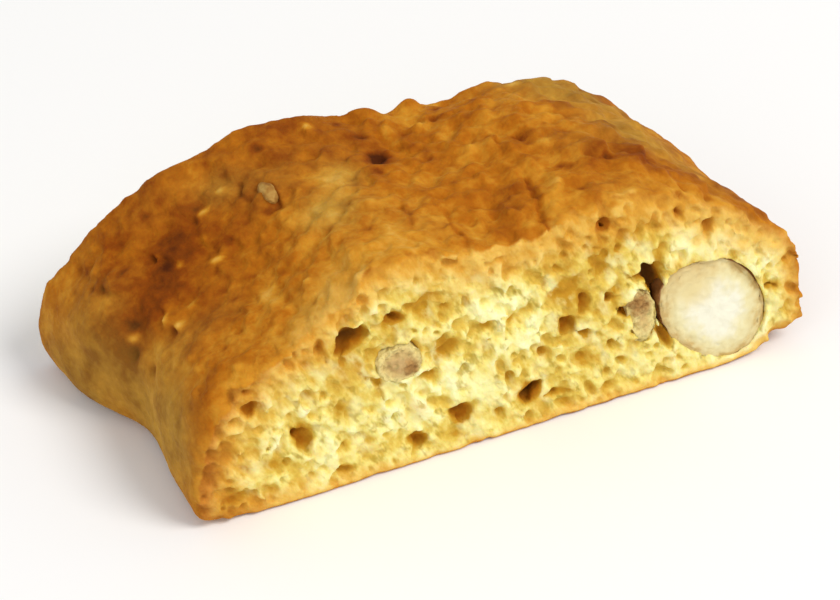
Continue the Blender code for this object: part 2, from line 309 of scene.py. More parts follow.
def lumps(grid, size, seed, tallness=1.0):
    """Smooth noise on the grid, with lumps of about that size and a spread of 1."""
    sizes = (size, size, size * tallness)
    weights = [curve_weights(count, side / grid.step) for count, side in zip(grid.shape, sizes)]
    lattice = [table.shape[1] for table in weights]
    values = np.random.default_rng(seed).standard_normal(lattice, dtype=np.float32)
    for axis, table in enumerate(weights):
        values = np.moveaxis(np.tensordot(table, values, (1, axis)), 0, axis)
    return values / values.std()


def slanted_lumps(grid, size, seed):
    """Lumps twice as high as wide, which lean over to the left like the crumb's own fibres."""
    shift = np.round(CRUMB_LEAN * np.arange(grid.shape[2])).astype(int)
    size_in_steps = np.array(grid.shape) - 1 + (shift[-1] + 1, 0, 0)
    wide = Grid(grid.low, grid.low + grid.step * size_in_steps, grid.step)
    values = lumps(wide, size, seed, 2.0)
    layers = [values[start : start + grid.shape[0], : grid.shape[1], k] for k, start in enumerate(shift)]
    return np.stack(layers, -1)


def soft_minimum(a, b, blend):
    overlap = np.maximum(blend - np.abs(a - b), 0) / blend
    return np.minimum(a, b) - overlap * overlap * blend / 4


def soft_maximum(a, b, blend):
    return -soft_minimum(-a, -b, blend)


def smooth_step(low, high, value):
    t = np.clip((value - low) / (high - low), 0, 1)
    return t * t * (3 - 2 * t)


def hill(offset, spread):
    return np.exp(-((offset / spread) ** 2))


def section_radius(angle):
    """The section's radius at angles in degrees, as a share of its half width and rise."""
    across, up = np.cos(np.radians(angle)), np.sin(np.radians(angle))
    foot = np.where(across < 0, LEFT_FOOT_ROUNDNESS, RIGHT_FOOT_ROUNDNESS)
    power = np.where(up >= 0, TOP_ROUNDNESS, foot)
    radius = (np.abs(across) ** power + np.abs(up) ** power) ** (-1 / power)
    radius = radius * (1 + sum(share * hill(angle - at, spread) for at, spread, share in RIDGES))
    tray = np.where(up < -0.01, AXIS_HEIGHT / RISE / np.maximum(-up, 0.01), 10)
    return soft_minimum(radius, tray, FOOT_BLEND)


def station_values(behind):
    """Left width, right width, rise and lean at distances behind the front cut, on smooth curves."""
    table = np.array(STATIONS, float)
    at = table[:, 0]
    behind = np.clip(behind, at[0], at[-1])
    i = np.clip(np.searchsorted(at, behind, side="right") - 1, 0, len(at) - 2)
    step = at[i + 1] - at[i]
    s = (behind - at[i]) / step
    found = []
    for column in (1, 2, 3, 4):
        value = table[:, column]
        slope = np.gradient(value, at)
        start = value[i] * (1 + 2 * s) * (1 - s) ** 2 + slope[i] * step * s * (1 - s) ** 2
        end = value[i + 1] * s * s * (3 - 2 * s) + slope[i + 1] * step * s * s * (s - 1)
        found.append((start + end).astype(np.float32))
    return found


def loaf_points(angle, behind):
    """Points of the smooth crust, from the axis, at angles round it and distances behind the front cut."""
    left, right, rise, lean = station_values(behind)
    radius = section_radius(angle)
    across = radius * np.cos(np.radians(angle))
    up = radius * np.sin(np.radians(angle))
    lift = np.where(up > 0, rise + lean * across, 1)
    x = HALF_WIDTH * across * np.where(across < 0, left, right)
    return np.stack([x, behind + 0 * x, RISE * up * lift], -1)


def loaf_point(angle, behind):
    """One point of the smooth crust, from the axis."""
    return loaf_points(np.array(float(angle)), np.array(float(behind)))


def loaf_place(x, y, z):
    """Angle round the axis, distance from it, and distance outside the smooth loaf, all along the ray."""
    left, right, rise, lean = station_values(y - FRONT_Y)
    from_axis, above_axis = x - AXIS_X, z - AXIS_HEIGHT
    across = from_axis / (HALF_WIDTH * np.where(from_axis < 0, left, right))
    lift = np.where(above_axis > 0, rise + lean * across, 1)
    up = above_axis / (RISE * lift)
    angle = np.degrees(np.arctan2(up, across))
    angle = np.where(angle < -90, angle + 360, angle)
    table = np.arange(-90, 270.1, 0.1)
    surface = np.interp(angle, table, section_radius(table)).astype(np.float32)
    distance = np.maximum(np.hypot(from_axis, above_axis), 0.3)
    return angle, distance, distance * (1 - surface / np.maximum(np.hypot(across, up), 0.01))


class CrustNet:
    """Values over the crust, on a net of angles round the axis and distances behind the front cut."""

    def __init__(self):
        self.angle = np.arange(*NET_ANGLES)
        self.behind = np.arange(*NET_DISTANCES)
        angle, behind = np.meshgrid(self.angle, self.behind, indexing="ij")
        self.points = loaf_points(angle, behind)

    def distance_to(self, angle, behind):
        """From each point of the net to one point of the crust."""
        return np.linalg.norm(self.points - loaf_point(angle, behind), axis=-1)

    def distance_to_line(self, bends):
        """From each point of the net to a line of straight stretches on the crust."""
        corners = [loaf_point(angle, behind) for angle, behind in bends]
        nearest = np.full(self.points.shape[:2], np.inf)
        for start, end in zip(corners, corners[1:]):
            along = end - start
            share = np.clip((self.points - start) @ along / (along @ along), 0, 1)
            offset = self.points - start - share[..., None] * along
            nearest = np.minimum(nearest, np.linalg.norm(offset, axis=-1))
        return nearest

    def add_hills(self, values, hills, sign=1):
        """Adds hills to values, from each one's angle, distance behind the front cut, radius and height."""
        for angle, behind, radius, height in hills:
            values += sign * height * hill(self.distance_to(angle, behind), radius)

    def sampled(self, grid, volume):
        """A volume's values at the net's points."""
        place = self.points + (AXIS_X, FRONT_Y, AXIS_HEIGHT)
        return grid.at(volume, place.reshape(-1, 3)).reshape(self.points.shape[:2])

    def look_up(self, values, angle, behind):
        """The net's values at angles and distances, joined linearly."""
        i = np.clip((angle - NET_ANGLES[0]) / NET_ANGLES[2], 0, len(self.angle) - 1.001)
        j = np.clip((behind - NET_DISTANCES[0]) / NET_DISTANCES[2], 0, len(self.behind) - 1.001)
        row, column = i.astype(int), j.astype(int)
        a, b = i - row, j - column
        low = values[row, column] * (1 - b) + values[row, column + 1] * b
        high = values[row + 1, column] * (1 - b) + values[row + 1, column + 1] * b
        return (low * (1 - a) + high * a).astype(np.float32)


def random_hills(places, radius, height):
    """Hills scattered over the crust's top. Radius and height are each the least one and its growth."""
    count, seed = places
    rng = np.random.default_rng(seed)
    angle, behind = rng.uniform(5, 165, count), rng.uniform(0, 28, count)
    share = rng.uniform(0, 1, count)
    return zip(angle, behind, radius[0] + radius[1] * share, height[0] + height[1] * share)


def crust_smoothness(net):
    """How much of the crust's finer relief is missing: on the flanks and at the rear edge."""
    on_left = 0.8 * smooth_step(150, 180, net.angle)[:, None]
    on_right = 0.6 * smooth_step(52, 35, net.angle)[:, None] * smooth_step(1, 6, net.behind)
    at_rear = 0.5 * smooth_step(24.5, 27, net.behind)
    return np.maximum(on_left + on_right, at_rear)


def crust_relief(net, grain, cells, fine_grain):
    """How far the crust stands out of the smooth loaf: the CAD part's knobs and lumps, then finer ones."""
    lump = [noise.fractal(Vector(point) / LUMP_SIZE, 1.0, 2.0, 3) for point in net.points.reshape(-1, 3)]
    relief = UNEVENNESS * np.array(lump).reshape(net.points.shape[:2])
    net.add_hills(relief, KNOBS)
    detail = 0.18 * grain + 0.16 * cells + 0.10 * fine_grain
    net.add_hills(detail, random_hills(BUMPS, (0.35, 0.3), (0.10, 0.16)))
    net.add_hills(detail, random_hills(PITS, (0.25, 0.2), (-0.15, -0.2)))
    relief += detail * (1 - crust_smoothness(net))
    net.add_hills(relief, BLISTERS)
    net.add_hills(relief, CRUST_HOLES, -1)
    for width, depth, *bends in CRACKS:
        away = net.distance_to_line(bends) + 0.08 * fine_grain
        relief -= depth * hill(away, width)
    flank = np.clip((net.points[..., 2] + AXIS_HEIGHT) / FOOT_FADE, 0, 1)
    return relief * flank - 0.06 * np.maximum(grain + 0.5 * fine_grain, 0) * (1 - flank)


def crust_bake_and_painted_light(net, grain, patches, broad):
    """How brown the crust is, from 0 to 1, with painted shade that darkens its holes, pits and cracks and
    painted highlights that make its blisters and bumps paler.
    """
    bake_and_painted_light = 0.45 + 0.07 * broad + 0.05 * patches + 0.03 * grain
    net.add_hills(bake_and_painted_light, STAINS)
    bake_and_painted_light -= 0.10 * hill(net.behind, 1.6)[None, :] * (1 + 0.4 * patches)
    # Painted shade: darker round the crust's holes
    net.add_hills(bake_and_painted_light, [(*place, radius * 1.3, 0.35) for *place, radius, _ in CRUST_HOLES])
    # Painted highlight: the blisters paler
    net.add_hills(bake_and_painted_light, [(*place, radius, -0.55) for *place, radius, _ in BLISTERS])
    # Painted highlight: the bumps paler
    net.add_hills(bake_and_painted_light, random_hills(BUMPS, (0.35, 0.3), (-0.05, -0.15)))
    # Painted shade: the pits darker
    net.add_hills(bake_and_painted_light, random_hills(PITS, (0.3, 0.2), (0.1, 0.15)))
    # Painted shade in the cracks, darker the deeper they are
    for width, depth, *bends in CRACKS:
        bake_and_painted_light += 0.5 * depth * hill(net.distance_to_line(bends), width * 1.5)
    return bake_and_painted_light


def crust_tan(net, patches):
    """How tan the crust is, from 0 to 1."""
    tan = 0.12 * patches
    net.add_hills(tan, TAN_PATCHES)
    return np.clip(tan, 0, 1)


def cut_distances(x, y):
    """How far points lie in front of the front cut, and behind the rear one."""
    rear = (x - AXIS_X) * math.sin(REAR_TURN) + (y - FRONT_Y - THICKNESS) * math.cos(REAR_TURN)
    return FRONT_Y - y, rear


def at_cut(across, height, into, rear=False):
    """A point near a cut, from its place across the loaf, its height and how far it lies in the dough."""
    if rear:
        return AXIS_X + across, FRONT_Y + THICKNESS - across * math.tan(REAR_TURN) - into, height
    return AXIS_X + across, FRONT_Y + into, height


def nut_centre(name):
    """The middle of a nut."""
    return at_cut(*NUTS[name][0], name == "nut_rear")


def turned(x, z, tilt):
    """Offsets in the cut's plane, along axes tilted by that many degrees."""
    turn = math.radians(tilt)
    return x * math.cos(turn) + z * math.sin(turn), z * math.cos(turn) - x * math.sin(turn)


def swelling(x, y, z):
    """How a lumpy blob differs from an ellipsoid in a direction."""
    return np.sin(3 * x + 2 * z) * np.cos(2 * y + z)


def blob_distance(x, y, z, radii, tilt, lumpiness):
    """Roughly how far points lie outside a lumpy ellipsoid, from their offsets to its centre."""
    along, beside = turned(x, z, tilt)
    u, v, w = along / radii[0], y / radii[1], beside / radii[2]
    size = np.sqrt(u * u + v * v + w * w) + 1e-3
    bulge = 1 + lumpiness * swelling(u / size, v / size, w / size)
    return (1 - bulge / size) * np.sqrt(x * x + y * y + z * z)


def carve(grid, field, centre, radii, tilt, lumpiness, grow, ragged):
    """Takes a lumpy ellipsoid out of the field, and softens its lip."""
    part, x, y, z = grid.near(centre, max(radii) * (1 + lumpiness) + grow + 3 * grid.step)
    away = blob_distance(x, y, z, radii, tilt, lumpiness) - grow + ragged[part]
    field[part] = soft_maximum(field[part], -away, 0.2)


def carve_pores(grid, field, crust, rear, ragged):
    """Scatters small pores over a cut, clear of the crust, the base and the nuts."""
    rng = np.random.default_rng(12 if rear else 11)
    margin = 1.3 if rear else 0.7
    low = (-HALF_WIDTH * 1.1, 0.9)
    places = rng.uniform(low, (HALF_WIDTH, AXIS_HEIGHT + RISE), (PORES, 2))
    for (across, height), share, into, stretch, tilt in zip(places, *rng.uniform(0, 1, (4, PORES))):
        centre = at_cut(across, height, 0.35 * into - 0.05, rear)
        away = [nut_distance(name, centre) for name in NUTS]
        if grid.at(crust, np.array([centre]))[0] > -margin or min(away) < 0.5:
            continue
        size = 0.18 + 0.36 * share**3
        radii = (size * (1.2 + 1.4 * stretch), size, size)
        carve(grid, field, centre, radii, CRUMB_TILT + 80 * (tilt - 0.5), 0, 0, ragged)


def nut_distance(name, place):
    """Roughly how far a place lies outside a nut."""
    offset = np.array(place) - nut_centre(name)
    return blob_distance(*offset, *NUTS[name][1:])


def hole_browning_and_shade(points, proud, holes):
    """How much darker and browner the crumb is painted inside the larger holes of a cut: partly their own
    browning, partly painted shade.
    """
    browning_and_shade = np.zeros(len(points))
    for across, height, half_length, half_width, tilt, depth in holes:
        along, beside = turned(points[:, 0] - AXIS_X - across, points[:, 2] - height, tilt)
        inside = smooth_step(1.2, 0.6, np.hypot(along / half_length, beside / half_width)) * (proud > -3)
        browning_and_shade = np.maximum(browning_and_shade, 0.45 * depth**1.5 * inside)
    return browning_and_shade


def open_voids(crust, under_cut, cells, fine_grain, patches):
    """How far points lie in the crumb's own voids, which lie near the cuts and clear of the crust."""
    openness = 0.8 * cells + 0.4 * fine_grain + 0.35 * patches
    least = OPENNESS + 1.2 * smooth_step(0.4, 1.3, under_cut) + 1.5 * smooth_step(-1.0, -0.2, crust)
    return 0.3 * (openness - least)


def cut_relief(grain, cells, fine_grain, patches):
    """How deep the torn crumb lies under a clean cut: lumps of all sizes, and pits between them."""
    lumpy = 0.04 * patches + 0.06 * grain + 0.06 * cells + 0.07 * fine_grain
    pits = 0.25 * np.maximum(0.8 * cells - 0.5 * grain + 0.3 * fine_grain - 0.6, 0)
    return 0.14 + lumpy + pits


def break_edge(surface, crust, cut, height, grain, cells):
    """Crumbles the edge between the crust and a cut, but not at the base."""
    at_edge = hill(crust, 1.2) * hill(cut, 1.2) * smooth_step(0.5, 3.0, height)
    return surface + 0.6 * at_edge * np.maximum(0.6 * grain + 0.6 * cells + 0.2, 0)


def neighbours(axis):
    """Slices of the grid's points with one before them along an axis, and of the ones before."""
    ahead = tuple(slice(1, None) if k == axis else slice(None) for k in range(3))
    back = tuple(slice(None, -1) if k == axis else slice(None) for k in range(3))
    return ahead, back


def joined(mask, start, rounds):
    """The part of a mask that joins up with its start, by that many steps through the grid."""
    reached = mask & start
    for _ in range(rounds):
        grown = reached.copy()
        for axis in range(3):
            ahead, back = neighbours(axis)
            grown[ahead] |= reached[back]
            grown[back] |= reached[ahead]
        reached = grown & mask
    return reached


def worn_edge(angle):
    """How rounded the edge between the crust and the front cut is, most of all on the left."""
    return hill(angle - WORN_AT, WORN_SPREAD)


def crust_field(grid, net, relief, angle, from_axis, radial):
    """How far points lie outside the rough crust."""
    steepness = np.sqrt(sum(slope**2 for slope in np.gradient(radial, grid.step)))
    behind = np.broadcast_to(grid.y - FRONT_Y, grid.shape)
    near = np.abs(radial) < 4
    stand = np.zeros(grid.shape, np.float32)
    stand[near] = net.look_up(relief, angle[near], behind[near])
    crust = ((radial - stand) / steepness).astype(np.float32)
    # The steepness misleads near the axis, so the depth there is at least this share of the axis's height
    in_core = radial < -4
    ray = (from_axis - radial)[in_core]
    crust[in_core] = np.minimum(crust[in_core], AXIS_HEIGHT * radial[in_core] / ray)
    return crust


def close_round_nuts(grid, voids):
    """Keeps the crumb's own voids away from the nuts."""
    for name, (_, radii, tilt, lumpiness) in NUTS.items():
        part, x, y, z = grid.near(nut_centre(name), max(radii) + 2)
        away = blob_distance(x, y, z, radii, tilt, lumpiness)
        voids[part] -= 0.5 * smooth_step(1.6, 0.8, away)


def carve_cuts(grid, field, crust, grain, ragged):
    """Takes the holes and pores of both cuts and the nuts' pockets out of the field."""
    for holes, at_rear in ((FRONT_HOLES, False), (REAR_HOLES, True)):
        for across, height, half_length, half_width, tilt, depth in holes:
            centre = at_cut(across, height, 0.2, at_rear)
            carve(grid, field, centre, (half_length, depth, half_width), tilt, HOLE_LUMPINESS, 0, ragged)
        carve_pores(grid, field, crust, at_rear, 0.5 * ragged)
    for name, (_, radii, tilt, lumpiness) in NUTS.items():
        wider, to_right, above = NUT_POCKETS[name]
        pocket = np.array(nut_centre(name)) + (to_right, 0, above)
        carve(grid, field, pocket, radii, tilt, lumpiness, wider, 0.06 * grain)


def drop_specks(field, plain):
    """Fills closed bubbles, and clears crumbs that hang on nothing."""
    air = joined(field > 0, plain > 0, rounds=14)
    field[(field > 0) & ~air] = -0.2
    dough = joined(field < 0, plain < -1.2, rounds=24)
    field[(field < 0) & ~dough] = 0.2


def dough_fields(grid, net, cells, grain, fine_grain, patches):
    """The dough's field, and the crust's alone."""
    angle, from_axis, radial = loaf_place(grid.x, grid.y, grid.z)
    relief = crust_relief(net, *(net.sampled(grid, volume) for volume in (grain, cells, fine_grain)))
    crust = crust_field(grid, net, relief, angle, from_axis, radial)
    front, rear = cut_distances(grid.x, grid.y)
    rough = cut_relief(grain, cells, fine_grain, patches) * smooth_step(-0.5, 1.5, grid.z)
    plain = soft_maximum(crust, front + rough, FRONT_ROUNDING + WORN_ROUNDING * worn_edge(angle))
    plain = break_edge(plain, crust, front, grid.z, grain, cells)
    plain = soft_maximum(plain, rear + rough * smooth_step(0.5, -1.5, crust), REAR_ROUNDING)
    voids = open_voids(crust, -np.maximum(front, rear), cells, fine_grain, patches)
    close_round_nuts(grid, voids)
    field = np.maximum(plain, voids)
    carve_cuts(grid, field, crust, grain, 0.16 * grain + 0.10 * cells + 0.14 * fine_grain)
    drop_specks(field, plain)
    return field, crust


def surface_points(grid, field):
    """The cells that the field's zero surface passes through, and a point of it in each."""
    cells = tuple(count - 1 for count in grid.shape)
    corners = np.array(list(np.ndindex(2, 2, 2)))
    corners_in = np.zeros(cells, np.int8)
    for i, j, k in corners:
        corners_in += field[i : i + cells[0], j : j + cells[1], k : k + cells[2]] < 0
    cell = np.argwhere((corners_in > 0) & (corners_in < len(corners)))
    total = np.zeros((len(cell), 3))
    crossings = np.zeros(len(cell))
    for start in corners:
        for along in UNITS[start == 0]:
            a = field[tuple((cell + start).T)]
            b = field[tuple((cell + start + along).T)]
            crosses = (a < 0) != (b < 0)
            share = np.where(crosses, a / np.where(crosses, a - b, 1), 0)
            total += (start + share[:, None] * along) * crosses[:, None]
            crossings += crosses
    return cell, grid.low + grid.step * (cell + total / crossings[:, None])


def surface_faces(grid, field, cell):
    """Four-sided faces between the cells' points, one round each grid edge that the surface crosses."""
    number = np.full(grid.shape, -1, np.int32)
    number[tuple(cell.T)] = np.arange(len(cell))
    faces = []
    for axis in range(3):
        u, v = UNITS[axis - 2], UNITS[axis - 1]
        ahead, back = neighbours(axis)
        a, b = field[back] < 0, field[ahead] < 0
        edge = np.argwhere(a != b)
        inward = ~a[tuple(edge.T)]
        face = np.stack([number[tuple((edge - step).T)] for step in (u + v, v, 0 * u, u)], -1)
        face[inward] = face[inward, ::-1]
        faces.append(face)
    return np.concatenate(faces)


def add_object(name, data):
    made = bpy.data.objects.new(name, data)
    bpy.context.scene.collection.objects.link(made)
    return made


def make_object(name, points, faces):
    """An object of four-sided faces, its points given in millimetres."""
    mesh = bpy.data.meshes.new(name)
    mesh.vertices.add(len(points))
    mesh.vertices.foreach_set("co", (points * MM).astype(np.float32).ravel())
    mesh.loops.add(faces.size)
    mesh.loops.foreach_set("vertex_index", faces.astype(np.int32).ravel())
    mesh.polygons.add(len(faces))
    mesh.polygons.foreach_set("loop_start", np.arange(0, faces.size, 4, dtype=np.int32))
    mesh.update(calc_edges=True)
    return add_object(name, mesh)


def thin_out(piece, most_triangles):
    """Merges the flattest faces of a piece until it has no more than that many triangles."""
    triangles = sum(len(face.vertices) - 2 for face in piece.data.polygons)
    if triangles > most_triangles:
        modifier = piece.modifiers.new("thin_out", "DECIMATE")
        modifier.ratio = most_triangles / triangles
        seen = piece.evaluated_get(bpy.context.evaluated_depsgraph_get())
        piece.data = bpy.data.meshes.new_from_object(seen)
        piece.modifiers.clear()
    piece.data.shade_smooth()


def mesh_points(mesh):
    """A mesh's points, in its own units."""
    points = np.zeros(len(mesh.vertices) * 3, np.float32)
    mesh.vertices.foreach_get("co", points)
    return points.reshape(-1, 3)


def set_values(piece, name, values):
    """Stores a value for each point of a piece, for its material to read."""
    attribute = piece.data.attributes.new(name, "FLOAT", "POINT")
    attribute.data.foreach_set("value", np.asarray(values, np.float32))


# Materials


def linear(red, green, blue):
    """A colour given as a screen shows it, from 0 to 255, in the renderer's own values."""
    parts = np.array((red, green, blue)) / 255
    return tuple(np.where(parts < 0.04045, parts / 12.92, ((parts + 0.055) / 1.055) ** 2.4).tolist())


class Shading:
    """A material and short ways to add nodes to it."""

    def __init__(self, name):
        self.material = bpy.data.materials.new(name)
        self.material.use_nodes = True
        self.nodes = self.material.node_tree.nodes
        self.shader = self.nodes["Principled BSDF"]
        self.place = self.nodes.new("ShaderNodeTexCoord").outputs["Object"]

    def join(self, value, socket):
        if isinstance(value, bpy.types.NodeSocket):
            self.material.node_tree.links.new(value, socket)
        else:
            socket.default_value = value

    def values(self, name):
        node = self.nodes.new("ShaderNodeAttribute")
        node.attribute_name = name
        return node.outputs["Fac"]

    def math(self, operation, a, b):
        node = self.nodes.new("ShaderNodeMath")
        node.operation = operation
        self.join(a, node.inputs[0])
        self.join(b, node.inputs[1])
        return node.outputs[0]

    def scale(self, value, low, high, to_low=0.0, to_high=1.0, way="SMOOTHSTEP"):
        """The value carried from one range to another, smoothly or straight."""
        node = self.nodes.new("ShaderNodeMapRange")
        node.interpolation_type = way
        self.join(value, node.inputs["Value"])
        for name, number in zip(("From Min", "From Max", "To Min", "To Max"), (low, high, to_low, to_high)):
            node.inputs[name].default_value = number
        return node.outputs[0]

    def along_fibres(self):
        """The object's coordinates, shortened along the crumb's fibres to draw noise out into streaks."""
        node = self.nodes.new("ShaderNodeMapping")
        node.vector_type = "TEXTURE"
        self.join(self.place, node.inputs["Vector"])
        node.inputs["Rotation"].default_value = (0, -math.radians(CRUMB_TILT), 0)
        node.inputs["Scale"].default_value = (2.2, 1, 1)
        return node.outputs[0]

    def noise(self, size, detail=3.0, distortion=0.0):
        """Noise from 0 to 1 with lumps of about that size in millimetres."""
        node = self.nodes.new("ShaderNodeTexNoise")
        node.inputs["Scale"].default_value = 1 / (size * MM)
        node.inputs["Detail"].default_value = detail
        node.inputs["Distortion"].default_value = distortion
        self.join(self.place, node.inputs["Vector"])
        return node.outputs["Fac"]

    def wander(self, value, amount, size, detail=3.0):
        """The value with that much noise added to it and taken off it."""
        swing = self.math("MULTIPLY", self.math("SUBTRACT", self.noise(size, detail), 0.5), 2 * amount)
        return self.math("ADD", value, swing)

    def ramp(self, value, *stops):
        """Colours along the value, from stops of a value and a colour."""
        low, high = stops[0][0], stops[-1][0]
        node = self.nodes.new("ShaderNodeValToRGB")
        points = node.color_ramp.elements
        while len(points) < len(stops):
            points.new(0.5)
        for point, (at, colour) in zip(points, stops):
            point.position = (at - low) / (high - low)
            point.color = (*linear(*colour), 1)
        self.join(self.scale(value, low, high, way="LINEAR"), node.inputs["Fac"])
        return node.outputs["Color"]

    def mix(self, share, a, b):
        node = self.nodes.new("ShaderNodeMix")
        node.data_type = "RGBA"
        self.join(share, node.inputs["Factor"])
        self.join(a, node.inputs[6])
        self.join(b, node.inputs[7])
        return node.outputs[2]

    def tint(self, share, colour, *screen_colour):
        """The colour with a share of another one mixed in."""
        return self.mix(share, colour, (*linear(*screen_colour), 1))

    def bump(self, height, depth):
        """Roughens the shading by a height from 0 to 1 that stands for that many millimetres."""
        node = self.nodes.new("ShaderNodeBump")
        node.inputs["Distance"].default_value = depth * MM
        self.join(height, node.inputs["Height"])
        self.join(node.outputs[0], self.shader.inputs["Normal"])

    def finish(self, colour, roughness, gloss):
        inputs = self.shader.inputs
        self.join(colour, inputs["Base Color"])
        inputs["Roughness"].default_value = roughness
        inputs["Specular IOR Level"].default_value = gloss
        return self.material


def dough_material():
    """Crust outside, crumb inside, with a toasted rim between them. Painted shade darkens the crust's
    holes, pits and cracks and the crumb's holes, and painted highlights make the crust's blisters and bumps
    paler.
    """
    look = Shading("dough")
    names = ("bake_and_painted_light", "tan", "depth", "sunk", "toast", "dark")
    bake_and_painted_light, tan, depth, sunk, toast, dark = (look.values(name) for name in names)
    browned_and_painted_light = look.wander(look.wander(bake_and_painted_light, 0.26, 2.4, 3), 0.16, 0.8, 2)
    orange = look.ramp(
        browned_and_painted_light,
        (-0.25, (236, 200, 140)), (0, (224, 172, 76)), (0.25, (204, 140, 38)),
        (0.45, (178, 105, 14)), (0.7, (138, 67, 3)), (1, (78, 32, 3)),
    )
    dry = look.ramp(browned_and_painted_light, (0.0, (218, 174, 84)), (0.35, (189, 141, 51)), (0.7, (139, 93, 28)))
    crust = look.mix(look.scale(look.wander(tan, 0.1, 1.8), 0.0, 1.0), orange, dry)

    object_place, look.place = look.place, look.along_fibres()
    pitted = look.wander(look.wander(sunk, 0.32, 0.4, 3), 0.50, 1.2)
    # The crumb darkens and browns with how deep it lies under the cut: partly the browning inside its
    # holes, partly painted shade in them.
    crumb = look.ramp(
        pitted,
        (-0.5, (249, 247, 190)), (0, (238, 222, 130)), (0.3, (220, 189, 84)),
        (0.75, (194, 146, 40)), (1.6, (162, 100, 10)), (3, (100, 60, 16)),
    )
    at_surface = look.scale(pitted, 0.8, 0.3)
    olive = look.math("MULTIPLY", look.scale(look.noise(0.8, 2), 0.54, 0.72, 0, 0.65), at_surface)
    crumb = look.tint(olive, crumb, 164, 138, 50)
    pale = look.math("MULTIPLY", look.scale(look.noise(1.7, 2), 0.50, 0.72, 0, 0.55), at_surface)
    crumb = look.tint(pale, crumb, 246, 245, 184)
    look.place = object_place
    golden = look.ramp(pitted, (-0.2, (232, 192, 96)), (0.4, (212, 154, 54)), (1.2, (166, 96, 16)))
    tawny = look.ramp(pitted, (-0.2, (202, 134, 50)), (0.6, (154, 90, 20)))
    toasted = look.scale(look.wander(toast, 0.22, 1.2), 0.05, 0.75)
    toasted = look.math("MAXIMUM", toasted, look.scale(look.noise(2.6, 3), 0.52, 0.78, 0, 0.4))
    crumb = look.mix(toasted, crumb, golden)
    crumb = look.mix(look.scale(look.wander(dark, 0.22, 1.0), 0.15, 0.75), crumb, tawny)
    outside = look.scale(look.wander(depth, 0.25, 0.8), 0.5, 0.1)
    colour = look.mix(outside, crumb, crust)
    look.bump(look.noise(0.4, 3), 0.14)
    look.shader.inputs["Subsurface Weight"].default_value = 0.25
    look.shader.inputs["Subsurface Radius"].default_value = (1.0, 0.5, 0.15)
    look.shader.inputs["Subsurface Scale"].default_value = 0.4 * MM
    return look.finish(colour, 0.8, 0.1)


def flesh_material():
    """Nut flesh, with the thin brown skin round it."""
    look = Shading("nut_flesh")
    edge = look.values("edge")
    mottled = look.wander(look.wander(edge, 1.6, 2.2, 3), 0.7, 0.7, 2)
    flesh = look.ramp(
        mottled,
        (0, (200, 170, 108)), (0.5, (218, 200, 144)), (1.5, (228, 218, 170)), (3, (236, 233, 212)),
    )
    tan = look.ramp(mottled, (0.2, (206, 180, 122)), (1.6, (224, 206, 150)))
    flesh = look.mix(look.scale(look.wander(look.values("core"), 0.3, 2.0), 0.2, 1.0), flesh, tan)
    skin = look.ramp(look.noise(0.9, 4), (0.2, (104, 62, 28)), (0.8, (160, 108, 56)))
    colour = look.mix(look.scale(edge, 0.12, 0.0), flesh, skin)
    look.bump(look.noise(0.5, 4), 0.06)
    return look.finish(colour, 0.55, 0.25)


def fragment_material():
    """A greyish, toasted piece of nut with its brown core."""
    look = Shading("nut_fragment")
    edge, core = look.values("edge"), look.values("core")
    colour = look.ramp(
        look.wander(look.wander(edge, 0.6, 1.0, 3), 0.5, 0.4, 2),
        (-0.3, (186, 162, 92)), (0.1, (226, 208, 136)), (0.5, (222, 200, 132)),
        (0.9, (206, 178, 114)), (1.5, (198, 164, 108)),
    )
    olive = look.scale(look.noise(0.6, 3), 0.5, 0.7, 0, 0.5)
    colour = look.tint(olive, colour, 150, 136, 78)
    brown = look.ramp(look.noise(0.5, 3), (0.3, (128, 88, 40)), (0.7, (186, 142, 82)))
    colour = look.mix(look.scale(look.wander(core, 0.5, 0.7), 0.3, 0.9), colour, brown)
    look.bump(look.noise(0.5, 4), 0.2)
    return look.finish(colour, 0.65, 0.2)


def chip_material():
    """A chip of nut, toasted with the crust."""
    look = Shading("nut_chip")
    stops = (0.3, (138, 90, 32)), (0.5, (166, 120, 52)), (0.7, (188, 150, 78))
    colour = look.ramp(look.noise(0.8, 4, 0.5), *stops)
    look.bump(look.noise(0.35, 3), 0.10)
    return look.finish(colour, 0.65, 0.2)


# Nuts


def unit_ball(name, rings):
    """A ball's mesh and its points, with its poles along Y."""
    shape = bmesh.new()
    bmesh.ops.create_uvsphere(shape, u_segments=2 * rings, v_segments=rings, radius=1)
    mesh = bpy.data.meshes.new(name)
    shape.to_mesh(mesh)
    shape.free()
    return mesh, mesh_points(mesh)[:, (0, 2, 1)] * (1, -1, 1)


def add_piece(name, mesh, points, material):
    """A smooth piece that rides on the part, its points given in millimetres."""
    mesh.vertices.foreach_set("co", (points * MM).astype(np.float32).ravel())
    mesh.shade_smooth()
    mesh.materials.append(material)
    piece = add_object(name, mesh)
    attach(piece, "root")
    return piece


def roughness_at(points, size):
    """Noise with a spread of about 0.3 at points, with lumps of about that size."""
    return np.array([noise.fractal(Vector(point) / size, 1.0, 2.0, 3) for point in points])


